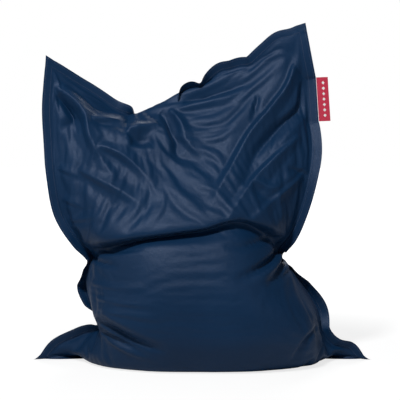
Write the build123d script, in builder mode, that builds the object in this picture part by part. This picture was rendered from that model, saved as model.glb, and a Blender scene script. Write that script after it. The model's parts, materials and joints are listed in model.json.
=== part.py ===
"""Floor bean bag chair: a two-panel coated-nylon bag of beads, stood on one short edge.

Millimetres. X runs to the right, Y to the rear and Z up. The origin is on the floor,
under the middle of the bag. The cover's two panels meet at the seam surface, which runs
the full width of the bag, and a flat flange stands out round the whole seam.
"""

import os

from build123d import *

# ---- overall sizes ----------------------------------------------------------------
bag_height = 1358.0  # floor to the tip of the taller, right-hand ear
foot_span = 1316.0  # between the tips of the two feet
front_reach = 345.0  # origin to the front of the seat bulge
back_reach = 330.0  # origin to the flattened rear, where the filling opening is

# ---- cover ------------------------------------------------------------------------
panel_t = 2.0  # coated nylon with its lining
flange_w = 40.0  # flat sewn flange, seam line to raw edge
outer_row_in = 8.0  # outer row of topstitching, from the flange's edge
inner_row_in = 30.0  # inner row of topstitching, from the flange's edge
thread_w = 0.9
thread_proud = 0.4
seam_wall = 4.0 * panel_t  # cover thickness towards the seam, where its layers gather
face_wall = 1.4 * panel_t  # cover thickness along Y on a sloping face

# ---- foot corners -----------------------------------------------------------------
foot_tip_z = 30.0
foot_tip = 8.0  # height of a foot's filled tip
foot_toe_in = 56.0  # from a foot's tip to where its flange meets the floor
foot_root_x = 250.0
foot_root_depth = 300.0
left_foot_rise = 165.0
right_foot_rise = 105.0

# ---- tag --------------------------------------------------------------------------
tag_length = 184.0
tag_reach = 47.0
tag_t = 1.6
tag_mid_z = 1041.0
tag_gap = 0.4  # sewn edge to the flange's edge
motif_count = 7
motif_side = 11.0
motif_proud = 0.25

# ---- filling opening --------------------------------------------------------------
closure_x = -15.0
closure_z = 172.0  # zip centre line above the floor
coil_length = 400.0
coil_w = 2.2
coil_t = 2.0
coil_gap = 1.4  # between the two coils, where the slider's web runs
tape_w = 18.0
tape_t = 1.0
tape_over = 20.0  # tape beyond each end of the coils
slot_height = 26.0
pocket_depth = 8.0  # room left in the beads behind the slot
run_gap = 0.3  # running clearance of the slider, and hook tape to loop tape
slider_length = 24.0
slider_w = 11.0
slider_plate = 1.6
slider_web = 0.8
bridge_rise = 1.7
stop_length = 4.0
hook_w = 25.0
hook_t = 2.5
loop_margin = 2.5  # loop tape beyond the hook tape on each side, for its stitching
flap_length = 470.0
flap_t = 1.5
flap_over_slider = 0.7
flap_margin = 3.0  # flap beyond the hook tape on each side
binding_w = 13.5
binding_t = 6.3
binding_gap = 0.9
care_w = 50.0
care_length = 60.0
care_t = 0.6

# ---- worked-out places ------------------------------------------------------------
half_span = foot_span / 2

# Each row: height, left seam, right seam, front, seam line's Y and back, as shares of
# bag_height, half_span, half_span, front_reach, back_reach and back_reach.
seat_rows = [
    (0.000, -0.550, 0.590, -0.76, 0.00, 0.82),
    (0.045, -0.620, 0.650, -0.92, 0.00, 1.05),
    (0.110, -0.640, 0.700, -0.99, 0.00, 1.10),
    (0.190, -0.675, 0.680, -1.00, 0.00, 1.11),
    (0.250, -0.710, 0.610, -0.96, 0.00, 1.09),
    (0.315, -0.685, 0.535, -0.85, 0.00, 1.06),
    (0.360, -0.665, 0.455, -0.62, 0.00, 1.02),
]
back_rows = [
    seat_rows[-1],
    (0.410, -0.800, 0.545, -0.70, 0.00, 0.96),
    (0.503, -0.880, 0.610, -0.42, 0.05, 0.86),
    (0.611, -0.860, 0.670, -0.12, 0.15, 0.73),
    (0.724, -0.918, 0.650, 0.13, 0.29, 0.55),
]
ear_seam_y = 0.44 * back_reach
tip_seam_y = 0.48 * back_reach
shoulder_z = back_rows[-1][0] * bag_height
shoulder_front = back_rows[-1][3] * front_reach
shoulder_seam = back_rows[-1][4] * back_reach
shoulder_back = back_rows[-1][5] * back_reach

seat_powers = (2.6, 4.0)  # how square a section's front and back are: 2 is a parabola
back_power = 2.2
ear_root = 40.0  # depth of the ears' roots below the shoulder

left_ear = (-0.960 * half_span, 0.905 * bag_height)
right_ear = (0.638 * half_span, bag_height)
top_dip = (-0.398 * half_span, 0.753 * bag_height)
left_foot = (-half_span, foot_tip_z)
right_foot = (half_span, foot_tip_z)
left_ankle = (-0.669 * half_span, 0.131 * bag_height)
right_ankle = (0.748 * half_span, 0.076 * bag_height)


def row_edge(row, side):
    """Flange edge beside one row of the bag: side is -1 for left, 1 for right."""
    seam_x = row[1] if side < 0 else row[2]
    return (seam_x * half_span + side * flange_w, row[0] * bag_height)


# The flange's outer edge, corner to corner, clockwise from the left foot's tip.
edge_runs = [
    [left_foot, (-0.866 * half_span, 0.081 * bag_height), left_ankle],
    [left_ankle] + [row_edge(row, -1) for row in seat_rows[3:]],
    [row_edge(row, -1) for row in back_rows] + [(-0.968 * half_span, 0.82 * bag_height), left_ear],
    [left_ear, (-0.678 * half_span, 0.822 * bag_height), top_dip],
    [top_dip, (0.091 * half_span, 0.867 * bag_height), right_ear],
    [right_ear, (0.703 * half_span, 0.83 * bag_height)]
    + [row_edge(row, 1) for row in reversed(back_rows)],
    [row_edge(row, 1) for row in reversed(seat_rows[2:])] + [right_ankle],
    [right_ankle, (0.897 * half_span, 0.080 * bag_height), right_foot],
    [right_foot, (half_span - foot_toe_in, 0.0)],
    [(half_span - foot_toe_in, 0.0), (foot_toe_in - half_span, 0.0)],
    [(foot_toe_in - half_span, 0.0), left_foot],
]


def inset_point(before, point, after, distance):
    """Point moved inwards until it is the distance from both sides of its corner."""
    first = (Vector(*point) - Vector(*before)).normalized()
    second = (Vector(*after) - Vector(*point)).normalized()
    first_in = Vector(first.Y, -first.X)
    second_in = Vector(second.Y, -second.X)
    bisector = first_in + second_in
    moved = Vector(*point) + bisector * (distance / (1 + first_in.dot(second_in)))
    return (moved.X, moved.Y)


def inset_runs(distance):
    """The flange's edge runs, all moved inwards by the same distance."""
    ring = [point for run in edge_runs for point in run[:-1]]
    count = len(ring)
    moved = [inset_point(ring[i - 1], ring[i], ring[(i + 1) % count], distance) for i in range(count)]
    runs = []
    start = 0
    for run in edge_runs:
        last = start + len(run) - 1
        runs.append([moved[i % count] for i in range(start, last + 1)])
        start = last
    return runs


def flange_edge(distance):
    """Front view of the flange's edge, moved inwards, drawn in the current line."""
    for run in inset_runs(distance):
        if len(run) > 2:
            Spline(*run)
        else:
            Line(*run)


def seam_line(shift):
    """Side view of the seam surface, moved along Y, drawn in the current line."""
    leaning = [(row[4] * back_reach + shift, row[0] * bag_height) for row in back_rows]
    ear = (ear_seam_y + shift, left_ear[1])
    tip = (tip_seam_y + shift, bag_height)
    over = (tip_seam_y + shift + 8, bag_height + 60)
    Line((shift, -20), leaning[0])
    Spline(*leaning, ear, tip, over, tangents=((0, 1), (0.13, 1)))
    return over


def seam_y(z):
    """Seam surface's Y at one height above the waist, read between the rows."""
    points = [(row[0] * bag_height, row[4] * back_reach) for row in back_rows]
    points += [(left_ear[1], ear_seam_y), (bag_height, tip_seam_y)]
    for (low_z, low_y), (high_z, high_y) in zip(points, points[1:]):
        if z <= high_z:
            return low_y + (high_y - low_y) * (z - low_z) / (high_z - low_z)
    return tip_seam_y


def bowed(left, right, seam, reach, power):
    """Points of one face of a section: seam to seam, bowed out to its reach."""
    middle = (left + right) / 2
    half = (right - left) / 2
    steps = (-1.0, -0.82, -0.48, 0.0, 0.48, 0.82, 1.0)
    return [(middle + half * u, seam + (reach - seam) * (1 - abs(u) ** power)) for u in steps]


def section(z, left, right, front, seam, back, powers):
    """Horizontal section of the bag, with a point at each seam."""
    with BuildSketch(Plane.XY.offset(z)) as level:
        with BuildLine():
            Spline(*bowed(left, right, seam, front, powers[0]))
            Spline(*bowed(left, right, seam, back, powers[1]))
        make_face()
    return level.sketch


def row_section(row, powers, wall, lift=0.0):
    """Section at one row, drawn in from the cover's outer face by a number of walls."""
    return section(
        row[0] * bag_height + lift,
        row[1] * half_span + wall * seam_wall,
        row[2] * half_span - wall * seam_wall,
        row[3] * front_reach + wall * face_wall,
        row[4] * back_reach,
        row[5] * back_reach - wall * face_wall,
        powers,
    )


def ear(left, right, tip, tip_y, wall):
    """Pointed ear, rooted inside the shoulder of the bag."""
    thin = 8 + wall * face_wall
    root = section(
        shoulder_z - ear_root,
        left,
        right,
        shoulder_front + thin,
        shoulder_seam,
        shoulder_back - thin,
        (back_power, back_power),
    )
    loft(sections=[root, Vertex(tip[0], tip_y, tip[1])], ruled=True)


def foot(side, rise, wall):
    """Pointed foot that lies on the floor, rooted inside the seat."""
    half_depth = foot_root_depth / 2 - wall * seam_wall
    top = rise - wall * seam_wall
    floor = wall * panel_t
    with BuildSketch(Plane.YZ.offset(side * foot_root_x)) as root:
        with BuildLine():
            Spline((-half_depth, floor), (-0.62 * half_depth, 0.62 * top), (0, top))
            Spline((0, top), (0.62 * half_depth, 0.62 * top), (half_depth, floor))
            Line((half_depth, floor), (-half_depth, floor))
        make_face()
    tip_x = side * (half_span - 1.6 * flange_w - 3 * wall * seam_wall)
    loft(sections=[root.sketch, Vertex(tip_x, 0, foot_tip + floor)], ruled=True)


def bag_volume(wall):
    """Solid inside the cover's outer face (wall 0) or its inner face (wall 1)."""
    inset = flange_w + wall * seam_wall
    left_tip = inset_point(left_foot, left_ear, top_dip, inset)
    right_tip = inset_point(top_dip, right_ear, row_edge(back_rows[-1], 1), inset)
    left_side = back_rows[-1][1] * half_span + 6 + wall * seam_wall
    right_side = back_rows[-1][2] * half_span - 6 - wall * seam_wall
    floor = row_section(seat_rows[0], seat_powers, wall, wall * panel_t)
    seat = [row_section(row, seat_powers, wall) for row in seat_rows[1:]]
    rest = [row_section(row, (back_power, back_power), wall) for row in back_rows[1:-1]]
    shoulder = row_section(back_rows[-1], (back_power, back_power), wall, -wall * panel_t)
    with BuildPart() as bag:
        loft(sections=[floor] + seat)
        loft(sections=[seat[-1]] + rest + [shoulder])
        ear(left_side, top_dip[0] - 8, left_tip, ear_seam_y, wall)
        ear(top_dip[0] + 8, right_side, right_tip, tip_seam_y, wall)
        foot(-1, left_foot_rise, wall)
        foot(1, right_foot_rise, wall)
        rear = back_reach - wall * panel_t
        with BuildSketch(Plane.XZ.offset(-rear)):
            Rectangle(3 * half_span, 3 * bag_height)
        extrude(amount=-back_reach, mode=Mode.SUBTRACT)
    return bag.part


# ---- the bag: outside, inside, and the surface that parts its two panels -----------
outside = bag_volume(0)
inside = bag_volume(1)

with BuildPart() as front_side:
    with BuildSketch(Plane.YZ):
        with BuildLine():
            top = seam_line(0)
            Polyline(top, (-2 * front_reach, top[1]), (-2 * front_reach, -20), (0, -20))
        make_face()
    extrude(amount=2 * half_span, both=True)


def seam_band(front, back):
    """Sheet along the seam surface, between two shifts along Y."""
    with BuildPart() as band:
        with BuildSketch(Plane.YZ):
            with BuildLine():
                front_top = seam_line(front)
                back_top = seam_line(back)
                Line(front_top, back_top)
                Line((front, -20), (back, -20))
            make_face()
        extrude(amount=2 * half_span, both=True)
    return band.part


def front_prism(distance):
    """Everything inside the flange's edge moved inwards, at any depth."""
    with BuildPart() as prism:
        with BuildSketch(Plane.XZ):
            with BuildLine():
                flange_edge(distance)
            make_face()
        extrude(amount=bag_height, both=True)
    return prism.part


with BuildPart() as cover:
    add(seam_band(-panel_t, panel_t))
    add(front_prism(0), mode=Mode.INTERSECT)
    add(outside)
    add(inside, mode=Mode.SUBTRACT)

with BuildPart() as front_panel:
    add(cover.part)
    add(front_side.part, mode=Mode.INTERSECT)
front_panel.part.label = "front_panel"

# ---- filling opening at the rear ---------------------------------------------------
closure_plane = Plane(origin=(closure_x, back_reach, closure_z), x_dir=(-1, 0, 0), z_dir=(0, 1, 0))

with BuildPart() as back_panel:
    add(cover.part)
    add(front_side.part, mode=Mode.SUBTRACT)
    with BuildSketch(closure_plane.offset(-3 * panel_t)):
        Rectangle(coil_length, slot_height)
    extrude(amount=6 * panel_t, mode=Mode.SUBTRACT)
back_panel.part.label = "back_panel"

with BuildPart() as bead_fill:
    add(inside)
    with BuildSketch(closure_plane.offset(-panel_t - pocket_depth)):
        Rectangle(coil_length, slot_height)
    extrude(amount=pocket_depth + panel_t, mode=Mode.SUBTRACT)
bead_fill.part.label = "bead_fill"


def foot_out(rise, height):
    """How far out, from the middle, a foot's top still covers the flange at a height."""
    tip_x = half_span - 1.6 * flange_w
    return tip_x - (tip_x - foot_root_x) * (height - foot_tip) / (rise - foot_tip)


def stitch_row(distance, pinch_gap=0.0):
    """One row of topstitching on both faces of the flange, left out under the seat.

    It is also left out for pinch_gap round each ankle and waist, and for less below the
    right shoulder, where the bag covers it.
    """
    row_outside = front_prism(distance)
    row_inside = front_prism(distance + thread_w)
    left = -foot_out(left_foot_rise, distance) - thread_w
    right = foot_out(right_foot_rise, distance) + thread_w
    gaps = [((left + right) / 2, distance, right - left, 4 * thread_w)]
    if pinch_gap:
        runs = inset_runs(distance)
        pinches = (runs[0][-1], runs[2][0], runs[6][0], runs[7][0])
        gaps += [(x, z, pinch_gap, pinch_gap) for x, z in pinches]
        shoulder, below = runs[5][2:4]
        short = 0.3 * pinch_gap
        gaps.append(((shoulder[0] + below[0]) / 2, (shoulder[1] + below[1]) / 2, short, short))
    threads = []
    for low, high in ((-panel_t - thread_proud, -panel_t), (panel_t, panel_t + thread_proud)):
        with BuildPart() as thread:
            add(seam_band(low, high))
            add(row_outside, mode=Mode.INTERSECT)
            add(row_inside, mode=Mode.SUBTRACT)
            for x, z, length, height in gaps:
                with Locations((x, 0, z)):
                    Box(length, 2 * bag_height, height, mode=Mode.SUBTRACT)
        threads.append(thread.part)
    with BuildPart() as row:
        add(threads)
    return row.part


flange_stitch_outer = stitch_row(outer_row_in)
flange_stitch_outer.label = "flange_stitch_outer"
flange_stitch_inner = stitch_row(inner_row_in, pinch_gap=0.13 * bag_height)
flange_stitch_inner.label = "flange_stitch_inner"


def rear_strip(length, height, thickness, up=0.0, lift=0.0, copies=1, pitch=0.0):
    """Flat strip on the rear face, centred on the zip and raised by up and lift."""
    with BuildPart() as strip:
        with BuildSketch(closure_plane.offset(lift)):
            with Locations((0, up)):
                with GridLocations(0, pitch, 1, copies):
                    Rectangle(length, height)
        extrude(amount=thickness)
    return strip.part


tape_up = coil_gap / 2 + tape_w / 2
coil_up = coil_gap / 2 + coil_w / 2
tape_length = coil_length + 2 * tape_over

zip_tape_upper = rear_strip(tape_length, tape_w, tape_t, up=tape_up)
zip_tape_upper.label = "zip_tape_upper"
zip_tape_lower = rear_strip(tape_length, tape_w, tape_t, up=-tape_up)
zip_tape_lower.label = "zip_tape_lower"


def coil(up):
    """One coil of the zip: a rounded rod along its tape's edge."""
    with BuildPart() as rod:
        add(rear_strip(coil_length, coil_w, coil_t, up=up, lift=tape_t))
        outer_edges = rod.faces().sort_by(Axis.Y)[-1].edges().filter_by(Axis.X)
        fillet(outer_edges, radius=0.4 * coil_w)
    return rod.part


zip_coil_upper = coil(coil_up)
zip_coil_upper.label = "zip_coil_upper"
zip_coil_lower = coil(-coil_up)
zip_coil_lower.label = "zip_coil_lower"

stop_h = 2 * coil_w + coil_gap + 2
stop_t = coil_t + 0.6


def zip_stop(side):
    """Metal clip over both coils' ends: side is -1 for the left end, 1 for the right."""
    with BuildPart() as clip:
        with BuildSketch(closure_plane.offset(tape_t)):
            with Locations((-side * (coil_length + stop_length) / 2, 0)):
                RectangleRounded(stop_length, stop_h, 0.8)
        extrude(amount=stop_t)
    return clip.part


zip_stop_left = zip_stop(-1)
zip_stop_left.label = "zip_stop_left"
zip_stop_right = zip_stop(1)
zip_stop_right.label = "zip_stop_right"

# The slider waits at the right-hand stop, with the opening closed.
slider_at = -(coil_length - slider_length) / 2 + 2 * run_gap
coil_top = tape_t + coil_t
lip_h = (slider_w - coil_gap - 2 * coil_w) / 2 - run_gap

with BuildPart() as zip_slider:
    with BuildSketch(closure_plane.offset(coil_top + run_gap)):
        with Locations((slider_at, 0)):
            RectangleRounded(slider_length, slider_w, 3)
    extrude(amount=slider_plate)
    with BuildSketch(closure_plane.offset(tape_t + run_gap)):
        with Locations((slider_at, 0)):
            with GridLocations(0, slider_w - lip_h, 1, 2):
                Rectangle(slider_length - 6, lip_h)
    extrude(amount=coil_t + slider_plate / 2)
    with BuildSketch(closure_plane.offset(-run_gap - slider_plate)):
        with Locations((slider_at, 0)):
            RectangleRounded(slider_length, slider_w, 3)
    extrude(amount=slider_plate)
    with BuildSketch(closure_plane.offset(-run_gap - slider_plate / 2)):
        with Locations((slider_at - slider_length / 4, 0)):
            Rectangle(slider_length / 3, slider_web)
    extrude(amount=coil_top + 2 * run_gap + slider_plate)
    with BuildSketch(closure_plane.offset(coil_top + run_gap + slider_plate / 2)):
        with Locations((slider_at, 0)):
            RectangleRounded(slider_length / 2, 2.4, 1)
    extrude(amount=slider_plate / 2 + bridge_rise)
zip_slider.part.label = "zip_slider"

# Storm flap: it hangs over the zip from a folded binding, hooked to the panel below.
flap_in = coil_top + run_gap + slider_plate + bridge_rise + flap_over_slider
loop_w = hook_w + 2 * loop_margin
hook_up = -(tape_up + tape_w / 2 + 1.5 + loop_w / 2)
hook_lift = hook_t + run_gap
flap_top = tape_up + tape_w / 2 + 11
flap_bottom = hook_up - hook_w / 2 - flap_margin
flap_height = flap_top - flap_bottom
hem_height = hook_w + 2 * flap_margin
hem_lift = hook_lift + hook_t

with BuildPart() as closure_flap:
    add(rear_strip(flap_length, flap_height, flap_t, up=(flap_top + flap_bottom) / 2, lift=flap_in))
    add(rear_strip(flap_length, hem_height, flap_in - hem_lift, up=hook_up, lift=hem_lift))
closure_flap.part.label = "closure_flap"

flap_hook_tape = rear_strip(flap_length - 2 * flap_margin, hook_w, hook_t, up=hook_up, lift=hook_lift)
flap_hook_tape.label = "flap_hook_tape"
panel_loop_tape = rear_strip(flap_length - 2 * flap_margin, loop_w, hook_t, up=hook_up)
panel_loop_tape.label = "panel_loop_tape"

binding_up = flap_top + binding_gap + binding_w / 2
with BuildPart() as flap_binding:
    add(rear_strip(flap_length, binding_w, binding_t, up=binding_up))
    fold_edges = flap_binding.faces().sort_by(Axis.Y)[-1].edges().filter_by(Axis.X)
    fillet(fold_edges, radius=0.3 * binding_t)
flap_binding.part.label = "flap_binding"

zip_stitch_pitch = 2 * (tape_up + 0.28 * tape_w)
zip_stitch = rear_strip(
    tape_length - 8, thread_w, thread_proud, lift=tape_t, copies=2, pitch=zip_stitch_pitch
)
zip_stitch.label = "zip_stitch"
loop_tape_stitch = rear_strip(
    flap_length - 4 * flap_margin, thread_w, thread_proud, up=hook_up, lift=hook_t,
    copies=2, pitch=hook_w + loop_margin,
)
loop_tape_stitch.label = "loop_tape_stitch"
flap_stitch = rear_strip(
    flap_length - 4 * flap_margin, thread_w, thread_proud, up=hook_up, lift=flap_in + flap_t,
    copies=2, pitch=hem_height - 5,
)
flap_stitch.label = "flap_stitch"

care_up = binding_up + binding_w / 2 + 8 + care_length / 2
care_label = rear_strip(care_w, care_length, care_t, up=care_up)
care_label.label = "care_label"

# ---- tag at the right-hand seam ------------------------------------------------------
ear_side = Spline(*edge_runs[5])


def edge_x(z):
    """X of the flange's edge at one height beside the right-hand ear."""
    low, high = 0.0, 1.0
    for _ in range(40):
        middle = (low + high) / 2
        low, high = (middle, high) if (ear_side @ middle).Y > z else (low, middle)
    return (ear_side @ low).X


tag_foot_z = tag_mid_z - tag_length / 2
tag_head_z = tag_mid_z + tag_length / 2
tag_foot = Vector(edge_x(tag_foot_z), seam_y(tag_foot_z), tag_foot_z)
tag_head = Vector(edge_x(tag_head_z), seam_y(tag_head_z), tag_head_z)
tag_axis = (tag_head - tag_foot).normalized()
tag_out = Vector(tag_axis.Z, 0, -tag_axis.X).normalized()
edge_steps = [tag_foot_z + tag_length * k / 12 for k in range(13)]
edge_bulge = max((Vector(edge_x(z), 0, z) - tag_foot).dot(tag_out) for z in edge_steps)
tag_middle = (tag_foot + tag_head) / 2 + tag_out * (tag_gap + tag_t / 2 + edge_bulge)
tag_plane = Plane(origin=tag_middle, x_dir=tag_out, z_dir=tag_axis)

with BuildPart() as side_label:
    with BuildSketch(tag_plane):
        Circle(tag_t / 2)
        with Locations((tag_reach / 2, 0)):
            Rectangle(tag_reach, tag_t)
    extrude(amount=tag_length / 2, both=True)
side_label.part.label = "side_label"

# The tag's faces look along the plane's own Y.
tag_face = Plane(origin=tag_plane.origin, x_dir=tag_plane.x_dir, z_dir=-tag_plane.y_dir)


def tag_trim(lift):
    """Stands the current sketch's marks on both faces of the tag, lift proud."""
    return tag_face.offset(tag_t / 2), tag_face.offset(-tag_t / 2 - lift)


with BuildPart() as label_motif:
    for plane in tag_trim(motif_proud):
        with BuildSketch(plane):
            with Locations((0.56 * tag_reach, 0)):
                with GridLocations(0, 0.86 * tag_length / motif_count, 1, motif_count):
                    Rectangle(motif_side, motif_side, rotation=45)
        extrude(amount=motif_proud)
label_motif.part.label = "label_motif"

with BuildPart() as label_stitch:
    for plane in tag_trim(motif_proud):
        with BuildSketch(plane):
            with Locations((4, 0)):
                Rectangle(thread_w, 0.94 * tag_length)
        extrude(amount=motif_proud)
label_stitch.part.label = "label_stitch"

# ---- write each piece ------------------------------------------------------------------
pieces = [
    front_panel.part,
    back_panel.part,
    bead_fill.part,
    flange_stitch_outer,
    flange_stitch_inner,
    zip_tape_upper,
    zip_tape_lower,
    zip_coil_upper,
    zip_coil_lower,
    zip_stop_left,
    zip_stop_right,
    zip_slider.part,
    zip_stitch,
    closure_flap.part,
    flap_hook_tape,
    panel_loop_tape,
    flap_binding.part,
    flap_stitch,
    loop_tape_stitch,
    care_label,
    side_label.part,
    label_motif.part,
    label_stitch.part,
]
os.makedirs("parts", exist_ok=True)
for piece in pieces:
    export_step(piece, f"parts/{piece.label}.step")

slider_travel = coil_length - slider_length - 4 * run_gap
print("flap hinge Y, Z:", back_reach + flap_in + flap_t / 2, closure_z + flap_top)
print("slider travel:", slider_travel)
print("tag hinge at", tag_middle, "along", tag_axis, "edge bulge", edge_bulge)
print("litres inside the cover:", inside.volume / 1e6)
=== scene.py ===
import json
import math

import bmesh
import bpy
import numpy as np
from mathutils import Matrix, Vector
from mathutils.bvhtree import BVHTree


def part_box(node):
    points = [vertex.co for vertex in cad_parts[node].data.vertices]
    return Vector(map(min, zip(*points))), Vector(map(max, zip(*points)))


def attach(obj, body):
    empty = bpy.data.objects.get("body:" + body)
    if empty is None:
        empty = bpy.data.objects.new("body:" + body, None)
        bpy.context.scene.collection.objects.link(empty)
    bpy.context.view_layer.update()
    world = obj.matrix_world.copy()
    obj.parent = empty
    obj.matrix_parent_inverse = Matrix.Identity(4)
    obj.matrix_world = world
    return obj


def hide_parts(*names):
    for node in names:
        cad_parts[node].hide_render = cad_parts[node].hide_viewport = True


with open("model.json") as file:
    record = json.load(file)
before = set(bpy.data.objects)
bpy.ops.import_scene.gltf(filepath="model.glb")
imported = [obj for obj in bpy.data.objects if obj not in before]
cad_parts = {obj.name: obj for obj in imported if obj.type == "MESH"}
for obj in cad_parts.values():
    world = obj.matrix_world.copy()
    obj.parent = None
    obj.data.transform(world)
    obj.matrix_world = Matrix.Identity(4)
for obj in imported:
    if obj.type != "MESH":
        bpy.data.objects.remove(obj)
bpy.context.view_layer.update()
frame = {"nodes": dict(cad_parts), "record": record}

# Everything is in metres, in the CAD's frame: X right, Y to the rear, Z up.

# ---- the cover's flat cut and its grid ---------------------------------------------
FLAT_W = 1.40
FLAT_L = 1.80
FLANGE = 0.04
CELLS_ACROSS = 30               # coarsest grid's cells between the side seams
CELLS_UP = 39                   # coarsest grid's cells between the bottom and top seams
STEPS = (120, 160, 200)         # cloth steps on each grid, each grid twice as fine as the last
BEND = (0.40, 0.40, 0.25)       # stiffness in bending on each grid
SKIN = 0.0007                   # half the thickness of two layers sewn together
SEAM_FLOOR = 0.0012             # lowest the sewn flange lies
FLOOR_SKIN = 0.003              # lowest a filled part of the cover lies
PATCH_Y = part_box("zip_tape_upper")[0].y - 0.0008    # rear cover behind the filling opening
REAR_SIDE = 0.2                 # the rear cover's points beyond this Y can be on that patch
TAG_REACH = 0.047               # folded tag, sewn edge to fold
TAG_T = 0.0016                  # folded tag, both layers

# Control points of the settled bag, seam to seam, from the bottom seam to the top one.
# Each row: left seam, five points across the front, right seam; then five across the rear,
# or none where both panels meet in the seam itself.
ROWS = [
    ([(-.612, -.02, .020), (-.42, .03, .004), (-.22, .05, .004), (.00, .06, .004), (.22, .05, .004),
      (.42, .03, .004), (.612, -.02, .018)], []),
    ([(-.565, -.02, .060), (-.43, -.10, .004), (-.22, -.13, .003), (.00, -.14, .003), (.22, -.13, .003),
      (.44, -.10, .004), (.575, -.02, .046)],
     [(-.42, .10, .004), (-.22, .15, .003), (.00, .16, .003), (.22, .15, .003), (.43, .10, .004)]),
    ([(-.480, -.03, .100), (-.415, -.18, .030), (-.23, -.26, .006), (.00, -.275, .004), (.24, -.26, .006),
      (.43, -.19, .025), (.520, -.03, .062)],
     [(-.41, .17, .020), (-.23, .25, .006), (.00, .27, .004), (.24, .25, .006), (.43, .17, .020)]),
    ([(-.400, -.05, .145), (-.385, -.20, .115), (-.22, -.315, .10), (.01, -.34, .09), (.25, -.325, .10),
      (.43, -.22, .110), (.478, -.03, .115)],
     [(-.385, .20, .110), (-.22, .322, .10), (.00, .33, .10), (.24, .32, .10), (.42, .20, .11)]),
    ([(-.445, -.02, .230), (-.41, -.21, .225), (-.24, -.33, .22), (.00, -.355, .21), (.24, -.335, .21),
      (.41, -.21, .210), (.465, .00, .200)],
     [(-.40, .23, .230), (-.24, .33, .23), (.00, .333, .23), (.22, .33, .23), (.40, .22, .22)]),
    ([(-.468, .00, .305), (-.42, -.18, .330), (-.25, -.305, .345), (-.01, -.33, .345), (.20, -.30, .34),
      (.35, -.17, .320), (.405, .00, .300)],
     [(-.41, .24, .320), (-.25, .335, .34), (.00, .34, .34), (.20, .33, .34), (.35, .22, .32)]),
    ([(-.455, -.03, .370), (-.40, -.17, .425), (-.23, -.255, .475), (.00, -.265, .485), (.17, -.235, .485),
      (.30, -.14, .425), (.350, -.01, .375)],
     [(-.40, .23, .400), (-.24, .325, .42), (.00, .34, .43), (.18, .32, .42), (.31, .20, .40)]),
    ([(-.438, -.04, .425), (-.36, -.15, .470), (-.20, -.205, .510), (.00, -.20, .537), (.14, -.175, .565),
      (.24, -.115, .515), (.305, -.01, .438)],
     [(-.39, .22, .460), (-.22, .32, .49), (.00, .335, .50), (.16, .31, .49), (.27, .18, .46)]),
    ([(-.485, -.06, .485), (-.38, -.205, .500), (-.21, -.250, .528), (.00, -.240, .556), (.15, -.205, .588),
      (.28, -.14, .545), (.345, -.02, .500)],
     [(-.42, .21, .530), (-.22, .315, .57), (.00, .325, .58), (.17, .30, .57), (.30, .18, .54)]),
    ([(-.550, -.05, .590), (-.40, -.150, .630), (-.22, -.170, .655), (-.02, -.150, .685), (.16, -.13, .700),
      (.30, -.10, .660), (.388, -.02, .595)],
     [(-.46, .18, .630), (-.23, .30, .67), (-.01, .31, .69), (.18, .285, .68), (.33, .18, .63)]),
    ([(-.580, -.03, .735), (-.42, -.09, .770), (-.23, -.080, .785), (-.04, -.05, .80), (.15, -.05, .81),
      (.32, -.05, .780), (.424, .00, .720)],
     [(-.48, .15, .750), (-.24, .275, .78), (-.02, .285, .80), (.19, .265, .79), (.35, .17, .74)]),
    ([(-.592, .00, .870), (-.45, -.04, .880), (-.26, -.02, .900), (-.06, .02, .915), (.16, .02, .94),
      (.34, .01, .905), (.444, .04, .840)],
     [(-.50, .12, .870), (-.26, .235, .88), (-.04, .255, .90), (.20, .24, .905), (.36, .17, .86)]),
    ([(-.600, .02, 1.000), (-.48, .01, .985), (-.30, .06, .955), (-.09, .085, 1.00), (.16, .09, 1.06),
      (.34, .07, 1.04), (.436, .085, .970)],
     [(-.51, .10, .975), (-.29, .19, .945), (-.07, .21, .985), (.20, .21, 1.02), (.37, .165, .99)]),
    ([(-.598, .04, 1.090), (-.51, .05, 1.055), (-.31, .11, .978), (-.10, .125, 1.06), (.16, .13, 1.15),
      (.34, .115, 1.175), (.420, .108, 1.120)],
     [(-.52, .09, 1.04), (-.30, .155, .970), (-.09, .17, 1.05), (.18, .18, 1.125), (.36, .15, 1.145)]),
    ([(-.595, .055, 1.158), (-.475, .10, 1.080), (-.27, .13, .972), (-.08, .14, 1.072), (.12, .145, 1.158),
      (.275, .14, 1.235), (.388, .130, 1.298)], []),
]
# Small waves of the top edge: place along X, rise, half width.
TOP_WAVES = [(-.36, -.004, .04), (-.15, -.010, .035), (.00, -.014, .035), (.08, .012, .035),
             (.20, -.018, .035), (.31, .020, .045)]


def hermite(values, knots, at):
    """Smooth curve through values (first axis) given at knots, read at other places."""
    step = np.diff(knots)
    first_axis = [-1] + [1] * (values.ndim - 1)
    slope = np.diff(values, axis=0) / step.reshape(first_axis)
    tangent = np.empty_like(values)
    tangent[0] = slope[0]
    tangent[-1] = slope[-1]
    share = (step[1:] / (step[:-1] + step[1:])).reshape(first_axis)
    tangent[1:-1] = slope[:-1] * share + slope[1:] * (1 - share)
    k = np.clip(np.searchsorted(knots, at, side="right") - 1, 0, len(step) - 1)
    t = ((at - knots[k]) / step[k]).reshape(first_axis)
    h = step[k].reshape(first_axis)
    return (
        (2 * t**3 - 3 * t**2 + 1) * values[k]
        + (t**3 - 2 * t**2 + t) * h * tangent[k]
        + (3 * t**2 - 2 * t**3) * values[k + 1]
        + (t**3 - t**2) * h * tangent[k + 1]
    )


def unit(v):
    """Vectors along the last axis, made one long."""
    return v / np.maximum(np.linalg.norm(v, axis=-1, keepdims=True), 1e-9)


def control_nets():
    """Front and rear control points as arrays: rows, seven across, three."""
    front = np.array([row[0] for row in ROWS])
    rear = np.array([[row[0][0]] + (row[1] or row[0][1:-1]) + [row[0][-1]] for row in ROWS])
    return np.stack([front, rear])


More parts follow.
